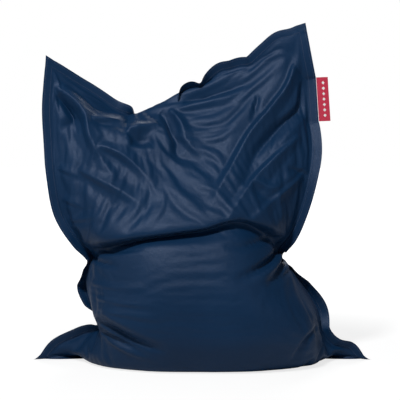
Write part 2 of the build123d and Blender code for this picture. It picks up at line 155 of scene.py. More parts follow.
def knots_of(nets, axis):
    """Knots along an axis of the nets, spaced as its points are on average."""
    moved = np.moveaxis(nets, axis, 0)
    gaps = np.linalg.norm(np.diff(moved, axis=0), axis=-1)
    mean = gaps.reshape(len(gaps), -1).mean(1)
    return np.concatenate([[0], np.cumsum(mean)]) / mean.sum()


def normals_of(p):
    """Outward normals of both panels' grids: p is panel, up, across, three."""
    up = np.gradient(p, axis=1)
    across = np.gradient(p, axis=2)
    n = unit(np.cross(across, up))
    n[1] = -n[1]
    return n


def cells_in(shape):
    """How many cells each point of a grid lies in from the nearest edge."""
    up, across = (np.minimum(np.arange(n), np.arange(n)[::-1]) for n in shape)
    return np.minimum(across[None, :], up[:, None])


def settled(level):
    """Both panels' target grids at one level, flange included, and its cells across."""
    rim = 2**level
    across = CELLS_ACROSS * rim
    up = CELLS_UP * rim
    nets = control_nets()
    v = np.linspace(0, 1, up + 1)
    u = np.linspace(0, 1, across + 1)
    kv = knots_of(nets, 1)
    ku = knots_of(nets, 2)
    inner = np.stack([hermite(net, kv, v) for net in nets])
    inner = np.stack([np.swapaxes(hermite(np.swapaxes(g, 0, 1), ku, u), 0, 1) for g in inner])
    wave = sum(rise * np.exp(-(((inner[..., 0] - x) / half) ** 2)) for x, rise, half in TOP_WAVES)
    inner[..., 2] += wave * np.clip((v - 0.86) / 0.14, 0, 1)[None, :, None] ** 2
    grid = np.zeros((2, up + 1 + 2 * rim, across + 1 + 2 * rim, 3))
    grid[:, rim:-rim, rim:-rim] = inner
    middle = inner.mean(0)

    def outward(edge, within):
        """Directions away from the panel, square to its edge."""
        out = edge - within
        tangent = unit(np.gradient(edge, axis=0))
        return unit(out - (out * tangent).sum(-1, keepdims=True) * tangent)

    def turn(line, first, last):
        """Bends the directions along an edge towards given ones at its two corners."""
        fade = np.exp(-np.arange(len(line)) / (3 * rim))[:, None]
        return unit(line * (1 - fade - fade[::-1]) + fade * unit(first) + fade[::-1] * unit(last))

    def corner(row, column, row_in, column_in):
        return middle[row, column] - middle[row_in, column_in]

    two = 2 * rim
    left = turn(outward(middle[:, 0], middle[:, rim]), corner(0, 0, 0, two), corner(-1, 0, -1, two))
    right = turn(outward(middle[:, -1], middle[:, -1 - rim]),
                 corner(0, -1, 0, -1 - two), corner(-1, -1, -1, -1 - two))
    top = turn(outward(middle[-1], middle[-1 - rim]),
               corner(-1, 0, -1 - two, 0), corner(-1, -1, -1 - two, -1))
    bottom = turn(np.tile([0.0, -1.0, 0.0], (across + 1, 1)), corner(0, 0, two, 0), corner(0, -1, two, -1))
    cell = FLANGE / rim
    for r in range(1, rim + 1):
        grid[:, rim:-rim, rim - r] = middle[:, 0] + left * r * cell
        grid[:, rim:-rim, -1 - rim + r] = middle[:, -1] + right * r * cell
        grid[:, -1 - rim + r, rim:-rim] = middle[-1] + top * r * cell
        grid[:, rim - r, rim:-rim] = middle[0] + bottom * r * cell
        for q in range(1, rim + 1):
            grid[:, rim - r, rim - q] = middle[0, 0] + (bottom[0] * r + left[0] * q) * cell
            grid[:, rim - r, -1 - rim + q] = middle[0, -1] + (bottom[-1] * r + right[0] * q) * cell
            grid[:, -1 - rim + r, rim - q] = middle[-1, 0] + (top[0] * r + left[-1] * q) * cell
            grid[:, -1 - rim + r, -1 - rim + q] = middle[-1, -1] + (top[-1] * r + right[-1] * q) * cell
    return grid, rim


# ---- folds that the settled bag shows -----------------------------------------------
# Each: points in front view (x, z), height, half width, depth of the valley on its right
# (seen along the stroke). A fold falls steeply on that side and gently on the other.
FRONT_FOLDS = [
    ([(-.600, 1.10), (-.51, 1.03), (-.468, .97), (-.448, .90), (-.408, .83), (-.33, .72)], .022, .020, .014),
    ([(-.41, .86), (-.33, .83), (-.25, .77), (-.185, .70)], .014, .018, .010),
    ([(-.49, .77), (-.39, .72), (-.29, .67), (-.21, .62)], .012, .018, .010),
    ([(-.58, 1.06), (-.53, 1.00), (-.52, .96), (-.57, .92)], -.020, .022, 0),
    ([(-.44, .965), (-.37, .955), (-.30, .950)], .014, .016, -.006),
    ([(-.30, .92), (-.23, .93), (-.16, .945)], .018, .014, .016),
    ([(-.285, .875), (-.235, .875), (-.185, .885)], -.018, .024, 0),
    ([(-.17, .99), (-.135, .945), (-.105, .88), (-.09, .82), (.01, .795)], -.020, .022, 0),
    ([(-.13, 1.00), (-.09, .945), (-.06, .87), (.02, .80)], .014, .016, 0),
    ([(-.08, 1.03), (.06, 1.065), (.22, 1.12)], -.020, .018, 0),
    ([(-.10, 1.00), (.04, 1.03), (.16, 1.06)], .010, .020, 0),
    ([(.385, 1.22), (.345, 1.10), (.275, 1.00), (.19, .90), (.12, .78), (.07, .70), (.02, .60)],
     .024, .020, -.004),
    ([(.405, 1.12), (.392, 1.01), (.312, .94), (.24, .86), (.19, .78), (.16, .70)], -.022, .024, 0),
    ([(.225, 1.06), (.21, 1.00), (.196, .95)], -.010, .010, 0),
    ([(.39, .90), (.30, .82), (.21, .735), (.15, .66), (.085, .57)], .018, .020, -.008),
    ([(.42, .76), (.33, .69), (.24, .62), (.18, .57)], .010, .014, -.006),
    ([(.20, .72), (.26, .70), (.31, .69)], .008, .014, .006),
    ([(.44, .73), (.38, .76), (.33, .77)], -.010, .012, 0),
    ([(-.60, .78), (-.54, .76), (-.48, .74)], .008, .012, -.006),
    ([(-.60, .66), (-.52, .64), (-.45, .62)], .008, .012, -.006),
    ([(-.56, .56), (-.47, .575), (-.38, .59)], .007, .012, -.005),
    ([(.31, .48), (.29, .445), (.23, .41), (.12, .365)], -.024, .013, 0),
    ([(.33, .455), (.315, .41), (.28, .37), (.24, .345)], -.016, .011, 0),
    ([(.30, .50), (.24, .50), (.17, .49), (.08, .485)], -.010, .011, 0),
    ([(.32, .445), (.27, .40), (.19, .355)], .014, .014, 0),
    ([(.36, .38), (.30, .355), (.24, .33)], -.006, .010, 0),
    ([(-.41, .19), (-.345, .165), (-.27, .13), (-.195, .105), (-.125, .09)], -.020, .013, 0),
    ([(-.40, .15), (-.34, .125), (-.27, .10), (-.20, .075)], -.012, .011, 0),
    ([(-.43, .45), (-.37, .455), (-.30, .465), (-.22, .475)], -.010, .010, 0),
    ([(-.44, .42), (-.38, .41), (-.31, .405)], -.010, .010, 0),
    ([(-.39, .23), (-.33, .205), (-.25, .17), (-.17, .14)], .008, .016, 0),
    ([(-.37, .12), (-.30, .09), (-.22, .065), (-.15, .05)], .007, .012, 0),
    ([(.45, .165), (.405, .13), (.37, .08), (.34, .04)], -.010, .012, 0),
    ([(-.44, .33), (-.32, .325), (-.20, .33)], .006, .010, -.003),
    ([(-.43, .28), (-.30, .27), (-.17, .265)], .006, .010, -.003),
    ([(-.41, .24), (-.28, .225), (-.14, .215)], .006, .010, -.003),
]
REAR_FOLDS = [
    ([(-.55, .92), (-.40, .84), (-.25, .74), (-.15, .64)], .016, .022, -.008),
    ([(.40, 1.12), (.33, 1.00), (.24, .88), (.14, .76), (.05, .66)], .018, .022, .010),
    ([(.20, 1.04), (.14, .94), (.06, .86)], -.014, .022, 0),
    ([(-.30, .90), (-.20, .86), (-.06, .84), (.06, .86)], -.014, .020, 0),
    ([(-.52, .62), (-.38, .58), (-.20, .555), (.00, .55), (.20, .56), (.32, .58)], -.014, .020, 0),
    ([(-.45, .44), (-.36, .40), (-.28, .38)], -.010, .016, 0),
    ([(.36, .44), (.30, .40), (.24, .38)], -.010, .016, 0),
    ([(-.40, .14), (-.34, .10), (-.28, .06)], -.010, .014, 0),
    ([(.45, .14), (.38, .10), (.32, .06)], -.010, .014, 0),
]


def fold_height(x, z, folds):
    """Height of all the folds at points in front view."""
    steep, gentle = 0.7, 1.5            # widths of a fold's two sides
    total = np.zeros_like(x)
    for points, height, half, valley in folds:
        knots = np.linspace(0, 1, len(points))
        line = hermite(np.array(points), knots, np.linspace(0, 1, 8 * len(points)))
        a = line[:-1]
        d = line[1:] - a
        length = np.linalg.norm(d, axis=1)
        px = x[..., None] - a[:, 0]
        pz = z[..., None] - a[:, 1]
        t = np.clip((px * d[:, 0] + pz * d[:, 1]) / length**2, 0, 1)
        ex = px - t * d[:, 0]
        ez = pz - t * d[:, 1]
        far = np.hypot(ex, ez)
        nearest = far.argmin(-1)
        pick = np.take_along_axis
        dist = pick(far, nearest[..., None], -1)[..., 0]
        side = np.sign(d[nearest, 1] * pick(ex, nearest[..., None], -1)[..., 0]
                       - d[nearest, 0] * pick(ez, nearest[..., None], -1)[..., 0])
        along = (nearest + pick(t, nearest[..., None], -1)[..., 0]) / len(a)
        fade = np.sin(np.pi * np.clip(along, 0, 1) ** 0.7)
        width = 1.7 * half * (0.6 + 0.8 * along)
        offset = side * dist
        slope = np.where(offset > 0, offset / (steep * width), -offset / (gentle * width))
        total += 1.2 * fade * height * np.clip(1 - slope, 0, 1) ** 1.3
        total -= fade * valley * np.exp(-(((offset - 1.5 * width) / width) ** 2))
    return total


def with_folds(grid, rim):
    """Target grids with the named folds raised along their normals."""
    n = normals_of(grid)
    out = grid.copy()
    depth = np.clip(cells_in(grid.shape[1:3]) - rim, 0, None) / rim
    hold = np.clip(depth / 1.2, 0, 1)
    for panel, folds in ((0, FRONT_FOLDS), (1, REAR_FOLDS)):
        high = fold_height(grid[panel, ..., 0], grid[panel, ..., 2], folds)
        off_floor = np.clip(grid[panel, ..., 2] / 0.05, 0, 1)
        out[panel] += (high * hold * off_floor)[..., None] * n[panel]
    return out


def patch_share(p):
    """1 where the rear cover is held flat behind the filling opening, fading to 0."""
    margin = 0.012
    fade = 0.05
    flap_low, flap_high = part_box("closure_flap")
    low = np.array([flap_low.x, flap_low.z]) - margin
    high = np.array([flap_high.x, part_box("care_label")[1].z]) + margin
    place = p[..., [0, 2]]
    gap = np.clip(np.maximum(low - place, place - high).max(-1) / fade, 0, 1)
    return (1 - gap**2 * (3 - 2 * gap)) * (p[..., 1] > REAR_SIDE)


def smooth(field, times):
    """Blurs a field of panel, up, across, three."""
    for _ in range(times):
        f = np.pad(field, ((0, 0), (1, 1), (1, 1), (0, 0)), mode="edge")
        field = (f[:, :-2, 1:-1] + f[:, 2:, 1:-1] + f[:, 1:-1, :-2] + f[:, 1:-1, 2:] + 2 * field) / 6
    return field


def finer(d):
    """A field on a grid of twice as many cells."""
    rows = np.zeros((2, 2 * d.shape[1] - 1, d.shape[2], 3))
    rows[:, ::2] = d
    rows[:, 1::2] = (d[:, :-1] + d[:, 1:]) / 2
    out = np.zeros((2, rows.shape[1], 2 * d.shape[2] - 1, 3))
    out[:, :, ::2] = rows
    out[:, :, 1::2] = (rows[:, :, :-1] + rows[:, :, 1:]) / 2
    return out


# Folds fan out from these points (x, z, weight, waves in a turn): ears, dip, waist notches
# and ankles.
FANS = [(-.60, 1.17, 1.0, 17), (.39, 1.30, 1.2, 15), (-.27, 1.02, .35, 13), (-.47, .43, .35, 11),
        (.34, .44, .45, 11), (-.43, .15, .45, 9), (.48, .08, .40, 9)]
NOTCHES = FANS[3:]
BACK_LOW, BACK_FULL = 0.50, 0.60        # heights between which the seat turns into the back


def fan_share(x, z, fan):
    """How much a fan rules the folds at points in front view."""
    core = 0.02
    return fan[2] / ((x - fan[0]) ** 2 + (z - fan[1]) ** 2 + core)


def back_share(z):
    """0 in the seat, 1 in the back."""
    return (z - BACK_LOW) / (BACK_FULL - BACK_LOW)


def fold_direction(x, z):
    """Direction the folds run in, front view, blended from the fans."""
    c = s = 0
    for fan in FANS:
        angle = 2 * np.arctan2(z - fan[1], x - fan[0])
        c = c + fan_share(x, z, fan) * np.cos(angle)
        s = s + fan_share(x, z, fan) * np.sin(angle)
    angle = np.arctan2(s, c) / 2
    return np.cos(angle), np.sin(angle)


def slack(x, z):
    """How much longer the cloth is than the settled shape: across the folds, and overall."""
    back = np.clip(back_share(z), 0, 1)
    around = 0.012                      # a notch's gathers reach about the root of this
    near = sum(np.exp(-(((x - fx) ** 2 + (z - fz) ** 2) / around)) for fx, fz, _, _ in NOTCHES)
    across = 0.003 + 0.027 * back + 0.055 * near
    overall = 0.0015 + 0.0015 * back
    return across, overall


def fan_waves(x, z):
    """Rays of gentle waves out of the fans, for the folds to grow from."""
    total = weights = 0
    for k, fan in enumerate(FANS):
        fx, fz, _, waves = fan
        angle = np.arctan2(z - fz, x - fx)
        share = fan_share(x, z, fan)
        sway = 0.8 * np.sin(5 * np.hypot(x - fx, z - fz) + 2 * k)
        total = total + share * np.sin(waves * angle + sway + 1.7 * k)
        weights = weights + share
    return total / weights * np.clip(back_share(z), 0.12, 1)


def growth(a, b):
    """Rest length over settled length for pairs of points."""
    mid = (a + b) / 2
    along = b - a
    x, z = mid[..., 0], mid[..., 2]
    fx, fz = fold_direction(x, z)
    span = np.linalg.norm(along, axis=-1) + 1e-9
    share = (along[..., 0] * fx + along[..., 2] * fz) / span
    across, overall = slack(x, z)
    return 1 + overall + across * (1 - np.clip(share**2, 0, 1))


def pull(p, a, b, rest, stiff):
    """Moves two sets of grid points towards their rest distances, in place."""
    d = p[b] - p[a]
    length = np.sqrt((d * d).sum(-1, keepdims=True)) + 1e-9
    move = d * (0.5 * stiff * (1 - rest[..., None] / length))
    p[a] += move
    p[b] -= move


def pairs(shape, dj, di):
    """Slices of point pairs (dj, di) apart, in sets where no point is used twice."""
    n_up, n_across = shape
    whole = slice(None)
    step = dj or di
    sets = []
    for first in range(2 * step):
        if dj:
            a = (whole, slice(first, n_up - dj, 2 * dj), slice(max(0, -di), n_across - max(0, di)))
            b = (whole, slice(first + dj, n_up, 2 * dj), slice(max(0, di), n_across + min(0, di)))
        else:
            a = (whole, whole, slice(first, n_across - di, 2 * di))
            b = (whole, whole, slice(first + di, n_across, 2 * di))
        sets.append((a, b))
    return sets


def broad(field, level):
    """Only the slow changes of a field, slower than about a hand's breadth."""
    coarse = smooth(field, level)[:, :: 2**level, :: 2**level]
    coarse = smooth(coarse, 7)
    for _ in range(level):
        coarse = finer(coarse)
    return coarse


def relax(p, target, rim, steps, level):
    """Quasi-static cloth: fixed lengths, a little bending, held near the settled shape."""
    broad_hold, near_hold = 0.25, 0.004     # pull back to the settled shape in each step
    cap = 0.024                             # furthest off the settled shape
    least_gap = 0.003                       # between the two panels
    seam_hold = 0.03
    shape = target.shape[1:3]
    bend = BEND[level]
    kinds = [(0, 1, 1.0), (1, 0, 1.0), (1, 1, 0.7), (1, -1, 0.7), (0, 2, bend), (2, 0, bend)]
    sets = []
    for dj, di, stiff in kinds:
        for a, b in pairs(shape, dj, di):
            rest = np.linalg.norm(target[b] - target[a], axis=-1) * growth(target[a], target[b])
            sets.append((a, b, rest, stiff))
    n = normals_of(target)
    sewn = cells_in(shape) <= rim
    lowest = np.where(sewn, SEAM_FLOOR, FLOOR_SKIN)
    patch = patch_share(target[1])
    apart = smooth(np.stack([target[1] - target[0]] * 2), 2)[0]
    apart = unit(apart + np.array([0, 1e-4, 0]))
    for _ in range(steps):
        for a, b, rest, stiff in sets:
            pull(p, a, b, rest, stiff)
        away = target - p
        p += broad_hold * broad(away, level) + near_hold * away
        off = ((p - target) * n).sum(-1, keepdims=True)
        p -= 0.5 * (off - np.clip(off, -cap, cap)) * n
        between = ((p[1] - p[0]) * apart).sum(-1, keepdims=True)
        short = np.clip(least_gap - between, 0, 0.01) / 2
        p[0] -= short * apart
        p[1] += short * apart
        p[1, ..., 1] += (PATCH_Y - p[1, ..., 1]) * patch
        p[:, sewn] = p[:, sewn].mean(0) + seam_hold * (target - p)[:, sewn].mean(0)
        p[..., 2] = np.maximum(p[..., 2], lowest)
    return p


def sampled(field, j, i):
    """A field of up, across, three read between its points."""
    low_j, low_i = j.astype(int), i.astype(int)
    tj, ti = (j - low_j)[..., None], (i - low_i)[..., None]
    near = field[low_j, low_i] * (1 - ti) + field[low_j, low_i + 1] * ti
    far = field[low_j + 1, low_i] * (1 - ti) + field[low_j + 1, low_i + 1] * ti
    return near * (1 - tj) + far * tj


def straighten(p, target, times, reach=1.3):
    """Evens out what stands off the settled shape along the folds, so they run straight."""
    x, z = target[..., 0], target[..., 2]
    fx, fz = fold_direction(x, z)
    di = fx * np.gradient(z, axis=1) - fz * np.gradient(x, axis=1)
    dj = fz * np.gradient(x, axis=2) - fx * np.gradient(z, axis=2)
    size = np.hypot(di, dj) + 1e-9
    di, dj = reach * di / size, reach * dj / size
    n_up, n_across = x.shape[1:]
    j, i = np.meshgrid(np.arange(n_up), np.arange(n_across), indexing="ij")
    off = p - target
    for _ in range(times):
        total = 2 * off
        for sign in (-1, 1):
            at_j = np.clip(j + sign * dj, 0, n_up - 1.001)
            at_i = np.clip(i + sign * di, 0, n_across - 1.001)
            total = total + np.stack([sampled(off[k], at_j[k], at_i[k]) for k in (0, 1)])
        off = total / 4
    return target + off


def settle():
    """Runs the cloth from the coarsest grid to the finest one."""
    unevenness, rays = 0.006, 0.009         # heights that the folds grow from
    rng = np.random.RandomState(11)
    p = None
    target = None
    for level, steps in enumerate(STEPS):
        previous = target
        plain, rim = settled(level)
        target = with_folds(plain, rim)
        target[1, ..., 1] += (PATCH_Y - target[1, ..., 1]) * patch_share(target[1])
        noise = smooth(rng.normal(size=(*target.shape[:3], 1)), 2) * unevenness / 4**level
        if level == 0:
            p = target.copy()
            noise = noise + rays * fan_waves(target[..., 0], target[..., 2])[..., None]
        else:
            p = straighten(target + finer(p - previous), target, 5 * level)
        p += noise * normals_of(target)
        p = relax(p, target, rim, steps, level)
    p = straighten(p, target, 2)
    sewn = cells_in(p.shape[1:3]) <= rim
    p[:, sewn] = p[:, sewn].mean(0)
    p[..., 2] = np.maximum(p[..., 2], np.where(sewn, SEAM_FLOOR, FLOOR_SKIN))
    return p, rim


def in_between(p):
    """Doubles the grid with a smooth curve through its points."""
    def double(g, axis):
        g = np.moveaxis(g, axis, 0)
        ends = np.concatenate([2 * g[:1] - g[1:2], g, 2 * g[-1:] - g[-2:-1]])
        mid = (9 * (ends[1:-2] + ends[2:-1]) - ends[:-3] - ends[3:]) / 16
        out = np.zeros((2 * len(g) - 1, *g.shape[1:]))
        out[::2] = g
        out[1::2] = mid
        return np.moveaxis(out, 0, axis)

    return double(double(p, 1), 2)


# ---- materials -----------------------------------------------------------------------
BAND_SCALE = 0.314              # a wave texture's scale for bands 1 m apart


def shader(name, colour, roughness, **sockets):
    """A new material, its node tree and its Principled shader, with sockets set by name."""
    mat = bpy.data.materials.new(name)
    mat.use_nodes = True
    tree = mat.node_tree
    bsdf = tree.nodes["Principled BSDF"]
    bsdf.inputs["Base Color"].default_value = (*colour, 1)
    bsdf.inputs["Roughness"].default_value = roughness
    for key, value in sockets.items():
        bsdf.inputs[key.replace("_", " ")].default_value = value
    return mat, tree, bsdf


def node(tree, kind, links=None, **values):
    """Adds a node, sets its properties and its sockets, and links what is given."""
    made = tree.nodes.new(kind)
    for key, value in values.items():
        if hasattr(made, key):
            setattr(made, key, value)
        else:
            made.inputs[key.replace("_", " ")].default_value = value
    for key, source in (links or {}).items():
        tree.links.new(source, made.inputs[key])
    return made


def ramp(tree, source, stops):
    """Colour ramp from a value: stops are (place, colour)."""
    made = node(tree, "ShaderNodeValToRGB", {"Fac": source})
    band = made.color_ramp
    band.elements[0].position, band.elements[0].color = stops[0][0], (*stops[0][1], 1)
    band.elements[1].position, band.elements[1].color = stops[-1][0], (*stops[-1][1], 1)
    for place, colour in stops[1:-1]:
        band.elements.new(place).color = (*colour, 1)
    return made.outputs["Color"]


def map_range(tree, source, low, high, start=0.0, end=1.0):
    """A value between start and end, spread between low and high."""
    made = node(tree, "ShaderNodeMapRange", {"Value": source}, From_Min=start, From_Max=end,
                To_Min=low, To_Max=high)
    return made.outputs["Result"]


def noise_of(tree, space, scale, detail, roughness=0.5):
    return node(tree, "ShaderNodeTexNoise", {"Vector": space}, Scale=scale, Detail=detail,
                Roughness=roughness).outputs["Fac"]


def bands(tree, coords, direction, scale):
    return node(tree, "ShaderNodeTexWave", {"Vector": coords}, wave_type="BANDS",
                bands_direction=direction, Scale=scale).outputs["Fac"]


def weave(tree, coords, pitch):
    """Plain weave height: over and under threads at a pitch in metres."""
    warp, weft = (bands(tree, coords, way, BAND_SCALE / pitch / 2) for way in ("X", "Y"))
    return node(tree, "ShaderNodeMath", {0: warp, 1: weft}, operation="MULTIPLY").outputs[0]


def bumped(tree, bsdf, layers):
    """Chains bump layers (height, distance, strength) into the shader's normal."""
    normal = None
    for height, distance, strength in layers:
        made = node(tree, "ShaderNodeBump", {"Height": height}, Distance=distance, Strength=strength)
        if normal:
            tree.links.new(normal, made.inputs["Normal"])
        normal = made.outputs["Normal"]
    tree.links.new(normal, bsdf.inputs["Normal"])


def nylon(name, dark, light):
    """Satin coated nylon: fine weave, crinkles, and uneven sheen."""
    mat, tree, bsdf = shader(
        name, dark, 0.42, Specular_IOR_Level=0.32, Sheen_Weight=0.03, Sheen_Roughness=0.4,
        Sheen_Tint=(0.55, 0.62, 0.9, 1), Specular_Tint=(0.60, 0.70, 0.94, 1),
    )
    where = node(tree, "ShaderNodeTexCoord")
    patches = noise_of(tree, where.outputs["Object"], 3.2, 3.0)
    crinkle = noise_of(tree, where.outputs["Object"], 34.0, 5.0, 0.6)
    grain = noise_of(tree, where.outputs["Object"], 160.0, 3.0)
    tree.links.new(ramp(tree, patches, [(0.30, dark), (0.72, light)]), bsdf.inputs["Base Color"])
    tree.links.new(map_range(tree, grain, 0.42, 0.60), bsdf.inputs["Roughness"])
    bumped(tree, bsdf, [
        (crinkle, 0.0035, 0.40),
        (grain, 0.0006, 0.35),
        (weave(tree, where.outputs["UV"], 0.0009), 0.00015, 0.5),
    ])
    return mat


def woven(name, colour, light, pitch, roughness=0.6):
    """Tape, tag or thread: woven ribs with slight colour change."""
    mat, tree, bsdf = shader(name, colour, roughness, Sheen_Weight=0.3)
    where = node(tree, "ShaderNodeTexCoord").outputs["Object"]
    speck = noise_of(tree, where, 420.0, 2.0)
    tree.links.new(ramp(tree, speck, [(0.35, colour), (0.7, light)]), bsdf.inputs["Base Color"])
    ribs = bands(tree, where, "DIAGONAL", BAND_SCALE / pitch)
    bumped(tree, bsdf, [(ribs, 0.0003, 0.6), (speck, 0.0002, 0.4)])
    return mat


def pebbled_with_painted_shade(name, roughness, scale, stops, height, strength, **sockets):
    """Cells lighter in the middle and darker at their rims, which is painted shade between them: fuzzy pile,
    or expanded beads.
    """
    mat, tree, bsdf = shader(name, stops[-1][1], roughness, **sockets)
    where = node(tree, "ShaderNodeTexCoord").outputs["Object"]
    cell = node(tree, "ShaderNodeTexVoronoi", {"Vector": where}, Scale=scale).outputs["Distance"]
    # Painted shade: the ramp runs from light at each cell's middle to dark at its rim, where shade falls
    # between beads or loops.
    tree.links.new(ramp(tree, cell, stops), bsdf.inputs["Base Color"])
    bumped(tree, bsdf, [(cell, height, strength)])
    return mat


def enamel(name, colour):
    """Enamelled zinc, its roughness and surface a little unevenly rubbed all over."""
    mat, tree, bsdf = shader(name, colour, 0.3, Metallic=0.6)
    rub = noise_of(tree, node(tree, "ShaderNodeTexCoord").outputs["Object"], 300.0, 4.0)
    tree.links.new(map_range(tree, rub, 0.2, 0.5), bsdf.inputs["Roughness"])
    bumped(tree, bsdf, [(rub, 0.0001, 0.4)])
    return mat


NAVY = (0.0006, 0.0180, 0.056)
NAVY_LIGHT = (0.0012, 0.0225, 0.068)
cover_mat = nylon("cover_nylon", NAVY, NAVY_LIGHT)
thread_mat = woven("sewing_thread", (0.012, 0.030, 0.085), (0.03, 0.055, 0.13), 0.0006)
tape_mat = woven("zip_tape", (0.008, 0.018, 0.055), (0.016, 0.032, 0.08), 0.0012)
tag_mat = woven("woven_tag", (0.50, 0.012, 0.045), (0.62, 0.025, 0.075), 0.0010, 0.5)
motif_mat = woven("woven_motif", (0.80, 0.78, 0.76), (0.9, 0.88, 0.86), 0.0010)
care_mat = woven("care_satin", (0.75, 0.75, 0.73), (0.85, 0.85, 0.83), 0.0010, 0.4)
# Pile colour: lighter navy in the cell middles, with painted shade darkening to the rims.
pile_mat = pebbled_with_painted_shade("hook_and_loop_pile", 0.85, 900.0,
                   [(0.1, (0.03, 0.045, 0.09)), (0.7, (0.006, 0.010, 0.028))], 0.0006, 0.8, Sheen_Weight=0.6)
coil_mat = woven("nylon_coil", (0.008, 0.014, 0.035), (0.015, 0.025, 0.055), 0.0014, 0.35)
metal_mat = enamel("zip_enamel", (0.02, 0.025, 0.045))
# Bead colour: white in the cell middles, with painted shade greying to the rims.
bead_mat = pebbled_with_painted_shade("polystyrene_beads", 0.7, 260.0,
                   [(0.1, (0.95, 0.95, 0.94)), (0.8, (0.7, 0.7, 0.68))], -0.002, 0.9)


# ---- pieces --------------------------------------------------------------------------
def piece(name, vertices, faces, mat, body, replaces, uv=None):
    """Makes one mesh piece that rides on a body and replaces CAD nodes."""
    mesh = bpy.data.meshes.new(name)
    mesh.from_pydata(np.asarray(vertices).tolist(), [], [tuple(f) for f in faces])
    if uv is not None:
        layer = mesh.uv_layers.new(name="flat")
        index = np.empty(len(mesh.loops), int)
        mesh.loops.foreach_get("vertex_index", index)
        layer.data.foreach_set("uv", np.asarray(uv)[index].ravel())
    mesh.polygons.foreach_set("use_smooth", [True] * len(mesh.polygons))
    mesh.materials.append(mat)
    mesh.update()
    obj = bpy.data.objects.new(name, mesh)
    bpy.context.collection.objects.link(obj)
    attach(obj, body)
    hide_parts(*replaces)
    return obj


def grid_faces(n_up, n_across, flip=False):
    """Quads of a grid, row by row."""
    base = np.arange(n_up * n_across).reshape(n_up, n_across)
    a, b, c, d = base[:-1, :-1], base[:-1, 1:], base[1:, 1:], base[1:, :-1]
    order = (a, d, c, b) if flip else (a, b, c, d)
    return np.stack([q.ravel() for q in order], axis=1)


cloth, rim = settle()
joint = {j["name"]: j for j in frame["record"]["behaviour"]["joints"]}
tag_at = np.array(joint["label_fold"]["pos_m"])
tag_axis = np.array(joint["label_fold"]["axis"])
tag_axis = tag_axis / np.linalg.norm(tag_axis)
tag_half = (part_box("side_label")[1].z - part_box("side_label")[0].z) / 2


def meet_tag(p):
    """Brings the flange's edge to the tag's sewn line, and eases the cloth round it."""
    clear = 0.0012
    ease_along, ease_across = 0.07, 0.10
    cell = 0.010
    edge = p[0, :, -1]
    along = np.clip((edge - tag_at) @ tag_axis, -tag_half, tag_half)
    wanted = tag_at + along[:, None] * tag_axis - np.array([clear, 0, 0])
    past = np.abs((edge - tag_at) @ tag_axis) - tag_half
    share = np.exp(-((np.clip(past, 0, None) / ease_along) ** 2))[:, None]
    shift = (wanted - edge) * share
    inwards = np.exp(-((np.arange(p.shape[2])[::-1] * cell / ease_across) ** 2))
    return p + shift[None, :, None, :] * inwards[None, None, :, None]


cloth = meet_tag(cloth)
fine = in_between(cloth)
fine_rim = 2 * rim
normals = normals_of(fine)
lift = np.full(fine.shape[1:3], SKIN)
lift[0] = lift[-1] = 0
lift[:, 0] = lift[:, -1] = 0
skins = fine + normals * lift[None, :, :, None]
skins[..., 2] = np.maximum(skins[..., 2], 0.0004)
n_up, n_across = fine.shape[1:3]
flat_uv = np.stack(
    np.meshgrid(np.linspace(0, FLAT_W, n_across), np.linspace(0, FLAT_L, n_up)), axis=-1
).reshape(-1, 2)

front_cover = piece(
    "front_cover", skins[0].reshape(-1, 3), grid_faces(n_up, n_across), cover_mat,
    "bag", ("front_panel",), uv=flat_uv,
)
rear_cover = piece(
    "rear_cover", skins[1].reshape(-1, 3), grid_faces(n_up, n_across, flip=True), cover_mat,
    "bag", ("back_panel",), uv=flat_uv,
)


def least_around(field, reach):
    """Smallest value of a field of panel, up, across within reach cells each way."""
    for axis in (1, 2):
        margins = [(reach, reach) if a == axis else (0, 0) for a in range(3)]
        wide = np.pad(field, margins, mode="edge")
        cells = field.shape[axis]
        field = np.min([wide.take(range(k, k + cells), axis) for k in range(2 * reach + 1)], axis=0)
    return field


